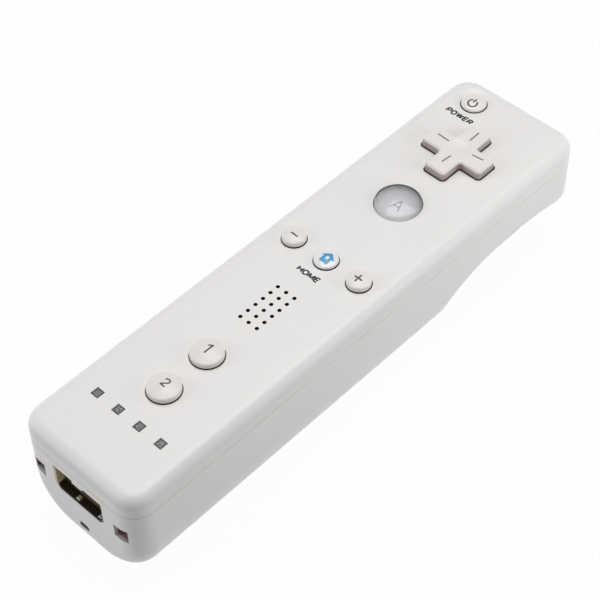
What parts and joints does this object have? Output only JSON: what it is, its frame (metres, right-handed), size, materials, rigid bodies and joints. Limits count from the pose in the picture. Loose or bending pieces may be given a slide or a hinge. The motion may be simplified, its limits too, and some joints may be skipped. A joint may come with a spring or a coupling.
{
  "type": "motion controller wand",
  "caption": "Slim white hand-held motion controller with a cross pad, round face buttons, an underside trigger and a battery hump.",
  "frame": {"origin": "centre of the wand's outline on the surface that it stands on, under the battery hump", "axes": "+Y along the wand towards the pointer window, +Z out of the button face, +X to the right of the cross pad"},
  "size_m": [0.0362, 0.148, 0.0332],
  "materials": {
    "case_plastic": "satin",
    "button_plastic": "satin",
    "clear_plastic": "gloss",
    "smoked_plastic": "gloss",
    "light_plastic": "satin",
    "black_plastic": "matte",
    "red_plastic": "satin",
    "keypad_rubber": "matte",
    "foam": "matte",
    "board_laminate": "satin",
    "chip_resin": "matte",
    "bright_steel": "satin",
    "gilt_brass": "satin",
    "cell_jacket": "satin",
    "led_package": "gloss"
  },
  "bodies": {
    "case": {"a_keypad": "keypad_rubber", "battery_left": "cell_jacket", "battery_right": "cell_jacket", "bottom_case": "case_plastic", "capacitors": "cell_jacket", "case_screws": "bright_steel", "connector_contacts": "gilt_brass", "connector_insulator": "black_plastic", "connector_shell": "bright_steel", "contact_plates": "bright_steel", "contact_springs": "bright_steel", "dpad_keypad": "keypad_rubber", "light_guide": "light_plastic", "main_board": "board_laminate", "memory_chip": "chip_resin", "menu_keypad": "keypad_rubber", "motion_sensor": "chip_resin", "motor_can": "bright_steel", "number_keypad": "keypad_rubber", "player_leds": "led_package", "pointer_camera": "black_plastic", "pointer_window": "smoked_plastic", "power_keypad": "keypad_rubber", "processor": "chip_resin", "radio_module": "bright_steel", "speaker": "black_plastic", "speaker_gasket": "foam", "sync_switch": "black_plastic", "top_case": "case_plastic", "trigger_keypad": "keypad_rubber", "trigger_pin": "bright_steel"},
    "power_button": {"power_button": "button_plastic"},
    "a_button": {"a_button": "clear_plastic"},
    "minus_button": {"minus_button": "button_plastic"},
    "home_button": {"home_button": "clear_plastic"},
    "plus_button": {"plus_button": "button_plastic"},
    "one_button": {"one_button": "button_plastic"},
    "two_button": {"two_button": "button_plastic"},
    "dpad_pivot": {"dpad_pivot": "black_plastic"},
    "dpad_cross": {"dpad_cross": "button_plastic"},
    "trigger": {"trigger": "button_plastic"},
    "sync_button": {"sync_button": "red_plastic"},
    "battery_cover": {"battery_cover": "case_plastic"},
    "motor_rotor": {"motor_shaft": "bright_steel", "motor_weight": "bright_steel"}
  },
  "joints": [
    {"name": "power_press", "type": "slide", "parent": "case", "child": "power_button", "axis": [0, 0, -1], "range_m": [0, 0.0008], "stiffness_N_per_m": 500, "springref_m": -0.0005, "deforming": ["power_keypad"]},
    {"name": "a_press", "type": "slide", "parent": "case", "child": "a_button", "axis": [0, 0, -1], "range_m": [0, 0.0008], "stiffness_N_per_m": 500, "springref_m": -0.0005, "deforming": ["a_keypad"]},
    {"name": "minus_press", "type": "slide", "parent": "case", "child": "minus_button", "axis": [0, 0, -1], "range_m": [0, 0.0008], "stiffness_N_per_m": 500, "springref_m": -0.0005, "deforming": ["menu_keypad"]},
    {"name": "home_press", "type": "slide", "parent": "case", "child": "home_button", "axis": [0, 0, -1], "range_m": [0, 0.0008], "stiffness_N_per_m": 500, "springref_m": -0.0005, "deforming": ["menu_keypad"]},
    {"name": "plus_press", "type": "slide", "parent": "case", "child": "plus_button", "axis": [0, 0, -1], "range_m": [0, 0.0008], "stiffness_N_per_m": 500, "springref_m": -0.0005, "deforming": ["menu_keypad"]},
    {"name": "one_press", "type": "slide", "parent": "case", "child": "one_button", "axis": [0, 0, -1], "range_m": [0, 0.0008], "stiffness_N_per_m": 500, "springref_m": -0.0005, "deforming": ["number_keypad"]},
    {"name": "two_press", "type": "slide", "parent": "case", "child": "two_button", "axis": [0, 0, -1], "range_m": [0, 0.0008], "stiffness_N_per_m": 500, "springref_m": -0.0005, "deforming": ["number_keypad"]},
    {"name": "dpad_tilt_front_back", "type": "hinge", "parent": "case", "child": "dpad_pivot", "pos_m": [0, 0.04925, 0.0264], "axis": [1, 0, 0], "range_deg": [-3, 3], "stiffness_Nm_per_rad": 0.15, "deforming": ["dpad_keypad"]},
    {"name": "dpad_tilt_left_right", "type": "hinge", "parent": "dpad_pivot", "child": "dpad_cross", "pos_m": [0, 0.04925, 0.0264], "axis": [0, 1, 0], "range_deg": [-3, 3], "stiffness_Nm_per_rad": 0.15, "deforming": ["dpad_keypad"]},
    {"name": "trigger_pull", "type": "hinge", "parent": "case", "child": "trigger", "pos_m": [0, 0.057, 0.017], "axis": [-1, 0, 0], "range_deg": [0, 5.5], "stiffness_Nm_per_rad": 0.5, "springref_deg": -2.86, "deforming": ["trigger_keypad"]},
    {"name": "sync_press", "type": "slide", "parent": "case", "child": "sync_button", "axis": [0, 0, 1], "range_m": [0, 0.0005], "stiffness_N_per_m": 500, "springref_m": -0.0005},
    {"name": "cover_lift_off", "type": "slide", "parent": "case", "child": "battery_cover", "axis": [0, 0, -1], "range_m": [0, 0.025]},
    {"name": "motor_spin", "type": "hinge", "parent": "case", "child": "motor_rotor", "pos_m": [0, 0.014, 0.0135], "axis": [1, 0, 0], "continuous": true}
  ]
}
